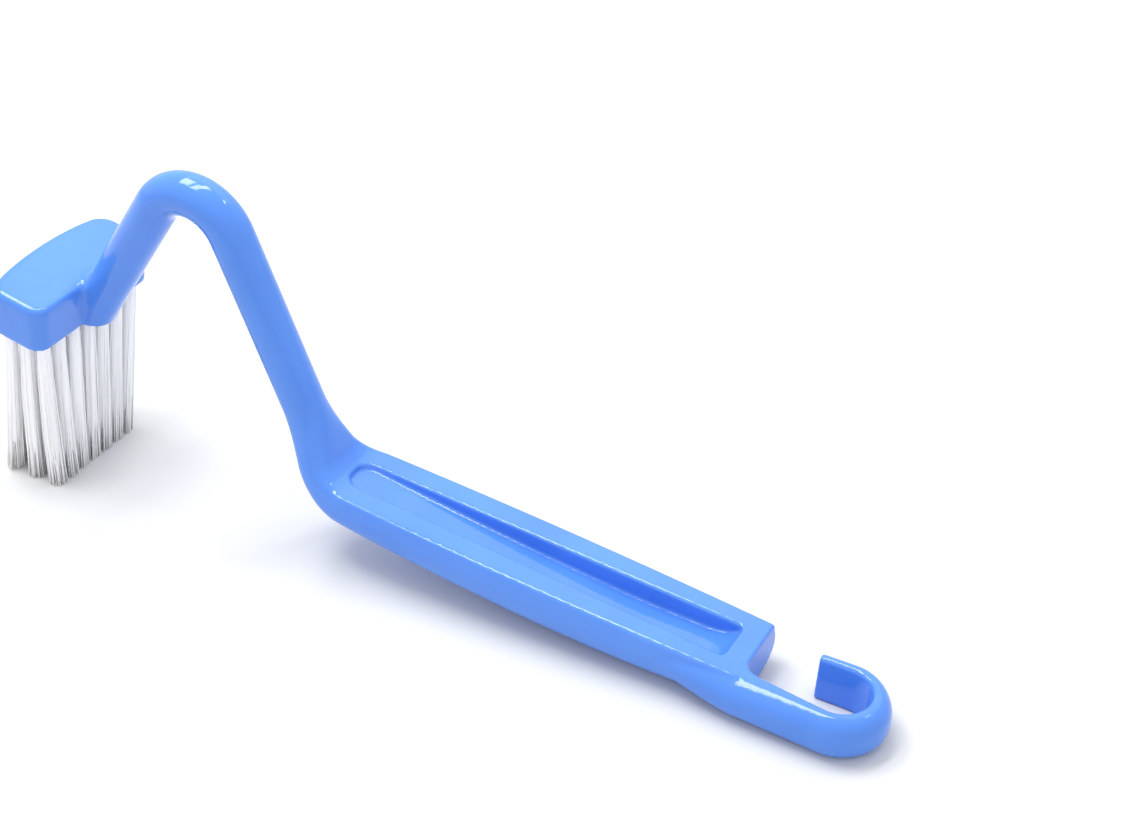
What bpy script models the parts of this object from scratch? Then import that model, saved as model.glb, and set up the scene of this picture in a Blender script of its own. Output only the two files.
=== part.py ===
"""A long-necked cleaning brush: one moulded handle, and bristle tufts held in its head by wire anchors.

The brush rests as it does on a table, on its front bristle tips and on its hook. X runs from the
head to the hook, Z is up, and the origin lies on the floor under the middle of the brush.
"""

import math
import random

import bmesh
import bpy
from mathutils import Matrix, Vector

MM = 0.001

# Neck: a round bar bent twice, in the upright plane through the middle of the brush
tube_diameter = 15.0 * MM
crossing_height = 138.5 * MM  # where the axes of the two legs would cross, above the floor
front_leg_slope = math.radians(55.4)
rear_leg_slope = math.radians(68.6)
apex_bend_radius = 17.0 * MM
lower_bend_radius = 17.0 * MM

# Grip: a flat-topped bar with a soft belly
grip_length = 158.2 * MM  # from the crossing of its axis with the rear leg's axis to its end face
grip_slope = math.radians(5.4)
grip_end_height = 15.15 * MM  # of its flat top above the floor, at the end face
grip_rim_width = 29.0 * MM
grip_side_swell = 1.2 * MM  # how far each side stands out past the rim
grip_side_bow = 1.3 * MM  # how far each side bows out in the middle of the grip, seen from above
grip_axis_depth = 6.5 * MM  # from the flat top down to the axis
grip_bend_depth = 14.0 * MM
grip_belly_depth = 19.6 * MM
grip_end_depth = 14.0 * MM
grip_belly_place = 88.0 * MM  # of the deepest section, along the grip from the bend
belly_front_power = 1.9  # of the curve from the belly to the bend
belly_end_power = 2.0  # of the curve from the belly to the end face
rim_radius = 1.3 * MM
belly_roundness = 2.5  # 2 would be an ellipse
widening_start = 20.0 * MM  # before the lower bend, along the leg
widening_end = 2.0 * MM  # after the lower bend, along the grip

# Recess in the flat top
recess_width = 14.8 * MM  # at its end
recess_front_width = 12.0 * MM
recess_front_depth = 1.4 * MM
recess_deepest = 7.0 * MM
recess_end_depth = 5.6 * MM
recess_deepest_share = 0.72  # of its length, from the front
recess_front_power = 1.5  # of the floor's curve from there to the front
recess_end_power = 2.0  # of the floor's curve from there to the end
recess_front_margin = 8.0 * MM  # from the crossing at the lower bend to the recess
recess_end_margin = 7.8 * MM  # from the recess to the end face
recess_front_corner_radius = 5.0 * MM  # seen from above
recess_end_corner_radius = 1.5 * MM  # seen from above
recess_floor_radius = 1.0 * MM  # along the foot of the walls
recess_front_radius = 0.8 * MM  # at the foot of the front wall
recess_end_ramp = 12.0 * MM  # over which the floor rises to the end
recess_end_lip = 0.5 * MM  # the depth left at the end of that ramp
recess_rounding_share = 0.8  # the most of a half width or a depth that the floor's radius takes

# Arm and hook: a flat bar that lies on the floor
hook_height = 15.0 * MM
hook_inner_radius = 9.7 * MM
hook_reach = 29.6 * MM  # from the grip's end face to the centre of the hook's bend
hook_side_shift = 2.9 * MM  # of that centre, towards the arm's side
hook_tip_length = 11.4 * MM  # from that centre back to the cut tip
arm_splay = math.radians(7.5)
arm_run_back = 38.0 * MM  # how far the arm swells the grip's side before the end face
arm_start_width = 10.8 * MM  # where that swelling starts, inside the grip
arm_root_width = 10.5 * MM  # at the end face
arm_width = 7.2 * MM  # where the hook's bend starts
bend_width = 5.5 * MM  # where the bend ends
bend_thinning_start = 0.35  # of the hook's bend, as a share of its turn
bend_thinning_end = 0.85
tip_width = 5.2 * MM
hook_draft = 2.6 * MM  # how far the foot of the tip's inner wall stands inside its top
hook_draft_start = math.radians(60)  # of the arm's turn, where this begins
arm_underside_rise = 0.5 * MM  # at the grip, where the floor no longer touches it
arm_start_rise = 6.0 * MM  # and how much more where its swelling starts
hook_outer_rounding = 0.7  # of its upper outer edge, as a share of the bar's width
hook_lower_rounding = 0.6  # of its lower outer edge
hook_side_rounding = 0.46  # of both, as a share of its height
hook_inner_edge_radius = 1.2 * MM
hook_lower_edge_radius = 0.6 * MM  # inside, next to the flat strip that it lies on
inner_edge_share = 0.3  # the most of the bar's width that the upper one takes
lower_edge_share = 0.2  # and the lower one
notch_fillet_radius = 4.7 * MM

# Head: a block that leans towards the grip
head_tilt = math.radians(10.6)
head_width = 58.8 * MM
head_side_depth = 22.6 * MM
head_bow = 3.8 * MM  # how far the middle of the back bulges past its corners
head_thickness = 17.5 * MM
head_front_corner_radius = 5.2 * MM
head_back_corner_radius = 7.5 * MM
head_edge_radius = 2.2 * MM
neck_inset = 1.8 * MM  # of the neck's axis behind the front face, at the underside

# Bristles
tuft_columns = 7
tuft_rows = 3
tuft_side_margin = 6.6 * MM  # from the end of the head to the outer column's axis
tuft_front_margin = 4.2 * MM  # from the front face to the front row's axis
tuft_row_pitch = 7.2 * MM
hole_diameter = 5.4 * MM
hole_depth = 12.0 * MM
bristle_length = 58.4 * MM  # of the front row, from the underside, before the floor cuts it
trim_slope = math.radians(8.0)  # of the plane through the tips, against the underside
floor_cut = 0.5 * MM  # how much of the front tips the floor cuts off flat
strands_per_tuft = 18
strand_diameter = 0.7 * MM
strand_wander = 0.1 * MM  # of a strand's tip, to any side
strand_middle_splay = 0.42  # of the splay, reached at half the strand's length
strand_middle_spread = 0.4  # of the way from the root's spread to the tip's, at the same place
tuft_tip_diameter = 5.4 * MM
tuft_lean = 6.8 * MM  # of all tips, towards the front, from straight below their holes
row_splay = 2.5 * MM  # of the outer rows' tips, away from the middle row's
side_lean = 8.2 * MM  # of all tips, towards the arm's side
side_gather = 4.6 * MM  # of the outer columns' tips, towards the middle

# Anchors: bits of flat wire that cross the holes
anchor_thickness = 0.4 * MM
anchor_height = 1.8 * MM
anchor_bite = 0.5 * MM  # into each side of the hole
anchor_cover = 1.1 * MM  # of bristle over the anchor, at the bottom of the hole

# Fits and mesh fineness
clearance = 0.3 * MM
overlap = 3.0 * MM  # by which joined shapes run into each other and cutters run past faces
section_steps = 6  # in a quarter of the neck's section
bend_step = math.radians(9.0)
hook_bend_steps = 16
grip_steps = 12
recess_steps = 8
corner_steps = 4

BLUE = (0.08, 0.27, 0.87, 1.0)
WHITE = (0.9, 0.91, 0.9, 1.0)
STEEL = (0.62, 0.63, 0.65, 1.0)


# Scene, collections and materials


def emptied_scene():
    for old in list(bpy.data.objects):
        bpy.data.objects.remove(old, do_unlink=True)
    parts = bpy.data.collections.new("cleaning_brush")
    cutters = bpy.data.collections.new("cutters")
    for collection in (parts, cutters):
        bpy.context.scene.collection.children.link(collection)
    return parts, cutters


def plain_material(name, colour, roughness, metallic=0.0):
    material = bpy.data.materials.new(name)
    material.use_nodes = True
    shader = material.node_tree.nodes["Principled BSDF"]
    shader.inputs["Base Color"].default_value = colour
    shader.inputs["Roughness"].default_value = roughness
    shader.inputs["Metallic"].default_value = metallic
    material.diffuse_color = colour
    return material


def frame_empty(name, place, tilt, parent=None):
    """An empty that leans by tilt about Y, so that its X axis points slightly down."""
    empty = bpy.data.objects.new(name, None)
    empty.location = place
    empty.rotation_euler = (0.0, tilt, 0.0)
    empty.parent = parent
    parts.objects.link(empty)
    return empty


def add_object(name, mesh, parent, material=None, helper=False):
    """An object for a mesh: a part of the brush, or a hidden helper that cuts or joins."""
    made = bpy.data.objects.new(name, mesh)
    made.parent = parent
    if material:
        mesh.materials.append(material)
    if helper:
        made.hide_render = True
        made.display_type = "WIRE"
    (cutters if helper else parts).objects.link(made)
    return made


def add_boolean(target, other, operation):
    modifier = target.modifiers.new(f"{operation.lower()} {other.name}", "BOOLEAN")
    modifier.operation = operation
    modifier.solver = "EXACT"
    modifier.object = other


def add_bevel(target, width, segments):
    modifier = target.modifiers.new("rounded edges", "BEVEL")
    modifier.width = width
    modifier.segments = segments
    modifier.limit_method = "ANGLE"
    modifier.angle_limit = math.radians(50)


# Shapes


def mesh_of(name, shape):
    bmesh.ops.recalc_face_normals(shape, faces=shape.faces)
    mesh = bpy.data.meshes.new(name)
    shape.to_mesh(mesh)
    shape.free()
    return mesh


def loft(name, rings):
    """A closed skin through rings that have the same number of points, with flat ends."""
    shape = bmesh.new()
    loops = [[shape.verts.new(point) for point in ring] for ring in rings]
    for loop, following in zip(loops, loops[1:]):
        for k in range(len(loop)):
            shape.faces.new((loop[k - 1], loop[k], following[k], following[k - 1]))
    shape.faces.new(loops[0])
    shape.faces.new(loops[-1])
    return mesh_of(name, shape)


def plate(name, outline, low, high):
    """A flat outline in XY, filled and given a thickness from low to high."""
    curve = bpy.data.curves.new(name, "CURVE")
    curve.dimensions = "2D"
    curve.fill_mode = "BOTH"
    curve.extrude = (high - low) / 2
    spline = curve.splines.new("POLY")
    spline.points.add(len(outline) - 1)
    for point, (x, y) in zip(spline.points, outline):
        point.co = (x, y, 0.0, 1.0)
    spline.use_cyclic_u = True
    holder = bpy.data.objects.new(name, curve)
    cutters.objects.link(holder)
    graph = bpy.context.evaluated_depsgraph_get()
    mesh = bpy.data.meshes.new_from_object(holder.evaluated_get(graph))
    bpy.data.objects.remove(holder, do_unlink=True)
    bpy.data.curves.remove(curve)
    shape = bmesh.new()
    shape.from_mesh(mesh)
    bpy.data.meshes.remove(mesh)
    bmesh.ops.remove_doubles(shape, verts=shape.verts, dist=0.001 * MM)
    bmesh.ops.translate(shape, verts=shape.verts, vec=(0.0, 0.0, (low + high) / 2))
    return mesh_of(name, shape)


def add_box(shape, centre, size):
    placing = Matrix.Translation(centre) @ Matrix.Diagonal((*size, 1.0))
    bmesh.ops.create_cube(shape, size=1.0, matrix=placing)


def add_cylinder(shape, x, y, radius, low, high):
    placing = Matrix.Translation((x, y, (low + high) / 2))
    bmesh.ops.create_cone(shape, cap_ends=True, segments=12, radius1=radius, radius2=radius,
                          depth=high - low, matrix=placing)


def arc(centre, radius, start, end, steps):
    """Points of an arc in a plane, both ends included."""
    angles = [start + (end - start) * k / steps for k in range(steps + 1)]
    return [centre + radius * Vector((math.cos(a), math.sin(a))) for a in angles]


def corner_arc(before, corner, after, radius, step):
    """The arc of this radius that rounds a corner of a line, as points of the plane."""
    back = (before - corner).normalized()
    ahead = (after - corner).normalized()
    half_angle = back.angle(ahead) / 2
    middle = (back + ahead).normalized()
    centre = corner + middle * radius / math.sin(half_angle)
    first = corner + back * radius / math.tan(half_angle) - centre
    turn = first.angle_signed(corner + ahead * radius / math.tan(half_angle) - centre)
    steps = max(2, math.ceil(abs(turn) / step))
    start = math.atan2(first.y, first.x)
    return arc(centre, radius, start, start - turn, steps)


def smooth_step(value, start, end):
    share = min(max((value - start) / (end - start), 0.0), 1.0)
    return share * share * (3 - 2 * share)


# Places that the driving sizes fix, in the XZ plane with x = 0 at the crossing of the two legs

legs_crossing = Vector((0.0, crossing_height))
front_leg_down = Vector((-math.cos(front_leg_slope), -math.sin(front_leg_slope)))
rear_leg_down = Vector((math.cos(rear_leg_slope), -math.sin(rear_leg_slope)))
grip_along = Vector((math.cos(grip_slope), -math.sin(grip_slope)))

grip_crossing_height = grip_end_height - grip_axis_depth + grip_length * math.sin(grip_slope)
rear_leg_length = (crossing_height - grip_crossing_height) / math.sin(rear_leg_slope)
grip_crossing = legs_crossing + rear_leg_down * rear_leg_length
grip_end = grip_crossing + grip_along * grip_length
grip_end_top = grip_end + Vector((0.0, grip_axis_depth))

head_forward = Vector((math.cos(head_tilt), -math.sin(head_tilt)))
front_tip_place = tuft_lean + row_splay - tuft_front_margin  # from the front face, along head_forward
head_height = (bristle_length * math.cos(head_tilt) + front_tip_place * math.sin(head_tilt)
               - floor_cut)
neck_foot_height = head_height + neck_inset * math.sin(head_tilt)
front_leg_length = (crossing_height - neck_foot_height) / math.sin(front_leg_slope)
neck_foot = legs_crossing + front_leg_down * front_leg_length
head_corner = neck_foot + head_forward * neck_inset  # the front edge of the underside

tuft_column_pitch = (head_width - 2 * tuft_side_margin) / (tuft_columns - 1)
plug_radius = hole_diameter / 2 - clearance
plug_depth = hole_depth - clearance
anchor_level = plug_depth - anchor_cover - clearance - anchor_height / 2
anchor_length = hole_diameter + 2 * anchor_bite


# Handle moulding


def round_section():
    quarter = [k * math.pi / 2 / section_steps for k in range(section_steps)]
    angles = [turn * math.pi / 2 + a for turn in range(4) for a in quarter]
    radius = tube_diameter / 2
    return [Vector((radius * math.cos(a), radius * math.sin(a))) for a in angles]


def grip_section(depth, bow):
    """The flat-topped section, as (side, up) from the axis, matched point by point to the round one."""
    rim = grip_rim_width / 2 + bow
    widest = rim + grip_side_swell
    top = grip_axis_depth
    rounding = arc(Vector((rim - rim_radius, top - rim_radius)), rim_radius, 0.0, math.pi / 2, 2)
    upper = [Vector((widest, 0.0)), Vector((rim + grip_side_swell / 2, top / 2)), *rounding,
             Vector((rim / 2, top))]
    lower = []
    for k in range(1, section_steps + 1):
        angle = k * math.pi / 2 / section_steps
        side = widest * math.cos(angle) ** (2 / belly_roundness)
        down = (depth - top) * math.sin(angle) ** (2 / belly_roundness)
        lower.append(Vector((side if k < section_steps else 0.0, -down)))
    left_upper = [Vector((-p.x, p.y)) for p in reversed(upper)]
    left_lower = [Vector((-p.x, p.y)) for p in lower[:-1]]
    return [*upper, Vector((0.0, top)), *left_upper, *left_lower, *reversed(lower)]


def grip_depth(distance):
    """The grip's depth at a distance along it from the bend: a soft belly, deepest at one place."""
    if distance < grip_belly_place:
        share = 1 - distance / grip_belly_place
        return grip_belly_depth - (grip_belly_depth - grip_bend_depth) * share ** belly_front_power
    share = (distance - grip_belly_place) / (grip_length - grip_belly_place)
    return grip_belly_depth - (grip_belly_depth - grip_end_depth) * share ** belly_end_power


def grip_bow(distance):
    """How far each side bows out at a distance along the grip: nothing at both of its ends."""
    share = min(distance / grip_length, 1.0)
    return grip_side_bow * 4 * share * (1 - share)


def neck_and_grip():
    """One sweep along both legs and the grip, whose section goes from round to flat-topped."""
    foot = neck_foot + front_leg_down * tube_diameter / 2
    apex = corner_arc(foot, legs_crossing, grip_crossing, apex_bend_radius, bend_step)
    bend = corner_arc(legs_crossing, grip_crossing, grip_end, lower_bend_radius, bend_step)
    widening = [bend[0] - rear_leg_down * widening_start * share for share in (1.0, 0.5)]
    rest = [bend[-1].lerp(grip_end, k / grip_steps) for k in range(1, grip_steps + 1)]
    line = [foot, *apex, *widening, *bend, *rest]
    travelled = [0.0]
    for here, following in zip(line, line[1:]):
        travelled.append(travelled[-1] + (following - here).length)
    first_bend_point = 1 + len(apex) + len(widening)
    bend_start = travelled[first_bend_point]
    bend_end = travelled[first_bend_point + len(bend) - 1]
    rings = []
    for k, place in enumerate(line):
        before = line[max(k - 1, 0)]
        after = line[min(k + 1, len(line) - 1)]
        along = ((after - place).normalized() + (place - before).normalized()).normalized()
        if k >= first_bend_point + len(bend) - 1:
            along = grip_along
        if place is line[-1]:
            along = Vector((1.0, 0.0))  # the end face is upright
        up = Vector((-along.y, along.x))
        share = smooth_step(travelled[k], bend_start - widening_start, bend_end + widening_end)
        distance = max((place - grip_crossing).dot(grip_along), 0.0)
        flat = grip_section(grip_depth(distance), grip_bow(distance))
        section = [a.lerp(b, share) for a, b in zip(round_section(), flat)]
        rings.append([Vector((place.x + up.x * p.y, p.x, place.y + up.y * p.y)) for p in section])
    return loft("handle_moulding", rings)


def head_outline():
    """The head seen along its thickness: straight front, bowed back, rounded corners."""
    half = head_width / 2
    bowed = []
    for y in (1.0, 2 / 3, 1 / 3, 0.0, -1 / 3, -2 / 3, -1.0):
        bowed.append(Vector((-head_side_depth - head_bow * (1 - y * y), half * y)))
    corners = [Vector((0.0, -half)), Vector((0.0, half)), *bowed]
    radii = [head_front_corner_radius] * 2 + [head_back_corner_radius] + [0.0] * 5
    radii.append(head_back_corner_radius)
    outline = []
    for k, (corner, radius) in enumerate(zip(corners, radii)):
        if radius:
            after = corners[(k + 1) % len(corners)]
            outline += corner_arc(corners[k - 1], corner, after, radius, math.radians(18))
        else:
            outline.append(corner)
    return outline


def hook_stations():
    """Places on the inner wall, headings and widths along the arm, round the hook and to its tip."""
    centre = Vector((grip_end_top.x + hook_reach, -hook_side_shift))
    first_angle = -math.pi / 2 - arm_splay
    bend = arc(centre, hook_inner_radius, first_angle, math.pi / 2, hook_bend_steps)
    heading = Vector((math.cos(arm_splay), -math.sin(arm_splay)))
    arm_length = (bend[0].x - grip_end_top.x) / heading.x
    stations = []
    for share in (1.0, 0.6, 0.3):
        width = arm_root_width + (arm_start_width - arm_root_width) * share
        stations.append((bend[0] - heading * (arm_length + arm_run_back * share), heading, width))
    for share in (0.0, 0.25, 0.5, 0.75):
        width = arm_root_width + (arm_width - arm_root_width) * share
        stations.append((bend[0] - heading * arm_length * (1 - share), heading, width))
    for k, place in enumerate(bend):
        outward = (place - centre).normalized()
        turned = k / hook_bend_steps
        thinned = smooth_step(turned, bend_thinning_start, bend_thinning_end)
        width = arm_width + (bend_width - arm_width) * thinned
        stations.append((place, Vector((-outward.y, outward.x)), width))
    for share in (0.5, 1.0):
        place = bend[-1] - Vector((hook_tip_length * share, 0.0))
        width = bend_width + (tip_width - bend_width) * share
        stations.append((place, Vector((-1.0, 0.0)), width))
    return stations


def bar_section(width, low, high, draft):
    """The bar's section as (outward, height) points: its outer side is far more rounded.

    The foot of its inner wall stands draft further in than the top.
    """
    upper = Vector((width * hook_outer_rounding, (high - low) * hook_side_rounding))
    lower = Vector((width * hook_lower_rounding, (high - low) * hook_side_rounding))
    inner_top = Vector((1.0, 1.0)) * min(hook_inner_edge_radius, width * inner_edge_share)
    inner_low = Vector((1.0, 1.0)) * min(hook_lower_edge_radius, width * lower_edge_share)
    points = []
    for turn, radii, side in ((0, upper, width), (1, inner_top, 0.0), (2, inner_low, 0.0),
                              (3, lower, width)):
        centre = Vector((side + (radii.x if side == 0.0 else -radii.x),
                         high - radii.y if turn < 2 else low + radii.y))
        for unit in arc(Vector((0.0, 0.0)), 1.0, turn * math.pi / 2, (turn + 1) * math.pi / 2, 3):
            point = centre + Vector((unit.x * radii.x, unit.y * radii.y))
            down = (high - point.y) / (high - low)
            points.append(point - Vector((draft * down * (1 - point.x / width), 0.0)))
    return points


def arm_and_hook():
    """The flat bar beside the notch, its hook and its tip, from a start buried in the grip's side."""
    rings = []
    for k, (place, along, width) in enumerate(hook_stations()):
        outward = Vector((along.y, -along.x))
        past_end = place.x - grip_end_top.x
        low = arm_underside_rise * (1 - smooth_step(past_end, 0.0, hook_reach * 0.8))
        low += arm_start_rise * smooth_step(-past_end, 0.0, arm_run_back)
        high = hook_height + max(-past_end, 0.0) * math.tan(grip_slope)
        draft = hook_draft * smooth_step(-along.x, -math.cos(hook_draft_start), 1.0)
        if k == 0:
            low += overlap
            high -= overlap
        rings.append([Vector((place.x + outward.x * p.x, place.y + outward.y * p.x, p.y))
                      for p in bar_section(width, low, high, draft)])
    return loft("arm_and_hook", rings)


def notch_fillet():
    """The rounded inner corner between the grip's end face and the arm, seen from above."""
    bend_start = -hook_side_shift - hook_inner_radius * math.cos(arm_splay)
    bend_place = hook_reach - hook_inner_radius * math.sin(arm_splay)
    wall = bend_start + (bend_place - notch_fillet_radius) * math.tan(arm_splay)
    centre = Vector((grip_end_top.x + notch_fillet_radius, wall + notch_fillet_radius))
    rounding = arc(centre, notch_fillet_radius, math.pi, math.pi * 1.5, corner_steps)
    deep = arm_root_width / 3
    inner = [Vector((centre.x, wall - deep)), Vector((grip_end_top.x - deep, wall - deep)),
             Vector((grip_end_top.x - deep, centre.y))]
    return plate("notch_fillet", [*rounding, *inner], arm_underside_rise * 2,
                 hook_height - 0.1 * MM)


def recess_depth(share):
    """The recess's depth at a share of its length from the front: deepest towards the hook."""
    if share < recess_deepest_share:
        return recess_deepest - ((recess_deepest - recess_front_depth)
                                 * (1 - share / recess_deepest_share) ** recess_front_power)
    past = (share - recess_deepest_share) / (1 - recess_deepest_share)
    return recess_deepest - (recess_deepest - recess_end_depth) * past ** recess_end_power


def rounded_off(radius, distance):
    """How far a rounded corner of this radius stays back at a distance from its end."""
    if distance >= radius:
        return 0.0
    return radius - math.sqrt(radius ** 2 - (radius - distance) ** 2)


def recess_cutter():
    """A long hollow with rounded corners, in the frame of the grip's end, where -X runs to the bend."""
    length = grip_length - recess_front_margin - recess_end_margin
    shares = [1 - math.cos(k * math.pi / 2 / corner_steps) for k in range(corner_steps + 1)]
    front = [recess_front_corner_radius * share for share in shares]
    ramp = [length - recess_end_ramp * share for share in reversed(shares)]
    run = ramp[0] - front[-1]
    middle = [front[-1] + run * k / recess_steps for k in range(1, recess_steps)]
    rings = []
    for distance in [*front, *middle, *ramp]:
        to_end = length - distance
        width = recess_front_width + (recess_width - recess_front_width) * distance / length
        half = width / 2 - rounded_off(recess_front_corner_radius, distance)
        half -= rounded_off(recess_end_corner_radius, to_end)
        depth = recess_depth(distance / length) - rounded_off(recess_front_radius, distance)
        unrisen = rounded_off(1.0, min(to_end / recess_end_ramp, 1.0))
        depth -= (depth - recess_end_lip) * unrisen
        radius = min(recess_floor_radius, recess_rounding_share * min(half, depth))
        floor = [*arc(Vector((half - radius, radius - depth)), radius, 0.0, -math.pi / 2, 3),
                 *arc(Vector((radius - half, radius - depth)), radius, -math.pi / 2, -math.pi, 3)]
        section = [Vector((half, 3 * overlap)), *floor, Vector((-half, 3 * overlap))]
        rings.append([Vector((distance - grip_length + recess_front_margin, p.x, p.y))
                      for p in section])
    return loft("grip_recess", rings)


def tuft_places():
    """Row, column and place of each hole in the head's underside, in the head's own frame."""
    for row in range(1, tuft_rows + 1):
        for column in range(1, tuft_columns + 1):
            x = -tuft_front_margin - (row - 1) * tuft_row_pitch
            y = (column - (tuft_columns + 1) / 2) * tuft_column_pitch
            yield row, column, x, y


def hole_cutter():
    shape = bmesh.new()
    for _, _, x, y in tuft_places():
        add_cylinder(shape, x, y, hole_diameter / 2, -overlap, hole_depth)
    return mesh_of("tuft_holes", shape)


def pocket_cutter():
    """A box round each anchor: the pockets in the hole's walls and the window in the tuft's fold."""
    shape = bmesh.new()
    size = Vector((anchor_thickness, anchor_length, anchor_height))
    size += Vector((2 * clearance, 2 * clearance, 2 * clearance))
    for _, _, x, y in tuft_places():
        add_box(shape, Vector((x, y, anchor_level)), size)
    return mesh_of("anchor_pockets", shape)


def underside_cutter():
    """A slab that trims the block and the neck's foot to one flat underside."""
    shape = bmesh.new()
    depth = head_side_depth + head_bow + 2 * tube_diameter
    size = Vector((depth + 2 * overlap, head_width + 2 * overlap, tube_diameter))
    centre = Vector((2 * tube_diameter - depth / 2, 0.0, -tube_diameter / 2))
    add_box(shape, centre, size)
    return mesh_of("underside_slab", shape)


def make_handle():
    handle = add_object("handle_moulding", neck_and_grip(), brush_frame, blue_plastic)
    block_mesh = plate("head_block", head_outline(), -2 * overlap, head_thickness)
    block = add_object("head_block", block_mesh, head_frame, helper=True)
    add_bevel(block, head_edge_radius, 3)
    hook = add_object("arm_and_hook", arm_and_hook(), brush_frame, helper=True)
    fillet = add_object("notch_fillet", notch_fillet(), brush_frame, helper=True)
    slab = add_object("underside_slab", underside_cutter(), head_frame, helper=True)
    recess = add_object("grip_recess", recess_cutter(), grip_frame, helper=True)
    holes = add_object("tuft_holes", hole_cutter(), head_frame, helper=True)
    for joined in (block, hook, fillet):
        add_boolean(handle, joined, "UNION")
    for cutter in (slab, recess, holes, anchor_pockets):
        add_boolean(handle, cutter, "DIFFERENCE")
    handle.data.shade_smooth()
    handle.data.set_sharp_from_angle(angle=math.radians(35))


# Tufts and anchors


def height_above_floor(point):
    """The height of a point given in the head's own frame."""
    return head_corner.y - point.x * math.sin(head_tilt) + point.z * math.cos(head_tilt)


def tuft_splay(row, column):
    """How far the tips of a tuft lie from straight below its hole, in the head's own frame."""
    side = (column - (tuft_columns + 1) / 2) / ((tuft_columns - 1) / 2)
    front = 1 - 2 * (row - 1) / (tuft_rows - 1)
    return Vector((tuft_lean + row_splay * front, -side_lean - side_gather * side, 0.0))


def strand_rings(root, middle, tip):
    """Three triangles along a strand, the last one flat on the trim plane or on the floor."""
    corners = [strand_diameter / 2 * Vector((math.cos(a), math.sin(a), 0.0))
               for a in (0.0, math.tau / 3, 2 * math.tau / 3)]
    middle_ring = [middle + c for c in corners]
    tip_ring = []
    for start, corner in zip(middle_ring, corners):
        end = tip + corner
        if height_above_floor(end) < 0.0:
            drop = height_above_floor(start) - height_above_floor(end)
            end = start.lerp(end, height_above_floor(start) / drop)
        tip_ring.append(end)
    return [[root + c for c in corners], middle_ring, tip_ring]


def bristles(name, row, column, x, y):
    """The strands of one tuft, apart from each other, each rooted in the tuft's plug."""
    chance = random.Random(10 * row + abs(2 * column - tuft_columns - 1))
    mirror = -1.0 if column > (tuft_columns + 1) / 2 else 1.0
    splay = tuft_splay(row, column)
    root_spread = plug_radius - strand_diameter / 2 - 0.1 * MM
    tip_spread = (tuft_tip_diameter - strand_diameter) / 2
    shape = bmesh.new()
    for k in range(strands_per_tuft):
        reach = math.sqrt((k + 0.5) / strands_per_tuft)
        angle = k * math.pi * (3 - math.sqrt(5))
        outward = Vector((math.cos(angle), mirror * math.sin(angle), 0.0)) * reach
        wander = Vector((chance.uniform(-1.0, 1.0), mirror * chance.uniform(-1.0, 1.0), 0.0))
        hole = Vector((x, y, 0.0))
        root = hole + outward * root_spread + Vector((0.0, 0.0, overlap / 2))
        tip = hole + splay + outward * tip_spread + wander * strand_wander
        tip.z -= bristle_length + (front_tip_place - tip.x) * math.tan(trim_slope)
        middle_spread = root_spread + (tip_spread - root_spread) * strand_middle_spread
        middle = hole + splay * strand_middle_splay + outward * middle_spread
        middle.z = tip.z / 2
        loops = [[shape.verts.new(point) for point in ring]
                 for ring in strand_rings(root, middle, tip)]
        for loop, following in zip(loops, loops[1:]):
            for side in range(3):
                shape.faces.new((loop[side - 1], loop[side], following[side], following[side - 1]))
        shape.faces.new(loops[0])
        shape.faces.new(loops[-1])
    return mesh_of(name, shape)


def make_tuft(row, column, x, y):
    name = f"tuft_r{row}_c{column}"
    shape = bmesh.new()
    add_cylinder(shape, x, y, plug_radius, 0.0, plug_depth)
    tuft = add_object(name, mesh_of(name, shape), head_frame, white_bristle)
    strands = add_object(f"bristles_r{row}_c{column}", bristles(name, row, column, x, y),
                         head_frame, helper=True)
    add_boolean(tuft, strands, "UNION")
    add_boolean(tuft, anchor_pockets, "DIFFERENCE")


def make_anchor(row, column, x, y):
    name = f"anchor_r{row}_c{column}"
    shape = bmesh.new()
    add_box(shape, Vector((0.0, 0.0, 0.0)), Vector((anchor_thickness, anchor_length, anchor_height)))
    anchor = add_object(name, mesh_of(name, shape), head_frame, anchor_steel)
    anchor.location = (x, y, anchor_level)


def centre_the_brush():
    """Moves the whole brush along X, so that the origin lies under the middle of its length."""
    graph = bpy.context.evaluated_depsgraph_get()
    reaches = []
    for part in parts.objects:
        if part.type == "MESH":
            evaluated = part.evaluated_get(graph)
            reaches += [(evaluated.matrix_world @ v.co).x for v in evaluated.data.vertices]
    brush_frame.location.x -= (min(reaches) + max(reaches)) / 2


parts, cutters = emptied_scene()
blue_plastic = plain_material("blue plastic", BLUE, 0.22)
white_bristle = plain_material("white bristle", WHITE, 0.4)
anchor_steel = plain_material("anchor steel", STEEL, 0.35, 1.0)
brush_frame = frame_empty("brush_frame", (0.0, 0.0, 0.0), 0.0)
head_frame = frame_empty("head_frame", (head_corner.x, 0.0, head_corner.y), head_tilt, brush_frame)
grip_frame = frame_empty("grip_frame", (grip_end_top.x, 0.0, grip_end_top.y), grip_slope, brush_frame)
anchor_pockets = add_object("anchor_pockets", pocket_cutter(), head_frame, helper=True)
make_handle()
for place in tuft_places():
    make_tuft(*place)
    make_anchor(*place)
centre_the_brush()
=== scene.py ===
# %% [markdown]
# A long-necked cleaning brush
#
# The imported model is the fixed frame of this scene. It holds one handle moulding, the tufts that
# stand in its head and the wire anchors that hold them. This lesson dresses that frame: it builds
# a finer skin for the moulding, real bundles of filaments for the tufts, and the finishes, then
# lights the brush on a plain white floor.

# %% Load the frame and keep its box
import math
import random

import bmesh
import bpy
import numpy as np
from mathutils import Matrix, Vector


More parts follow.
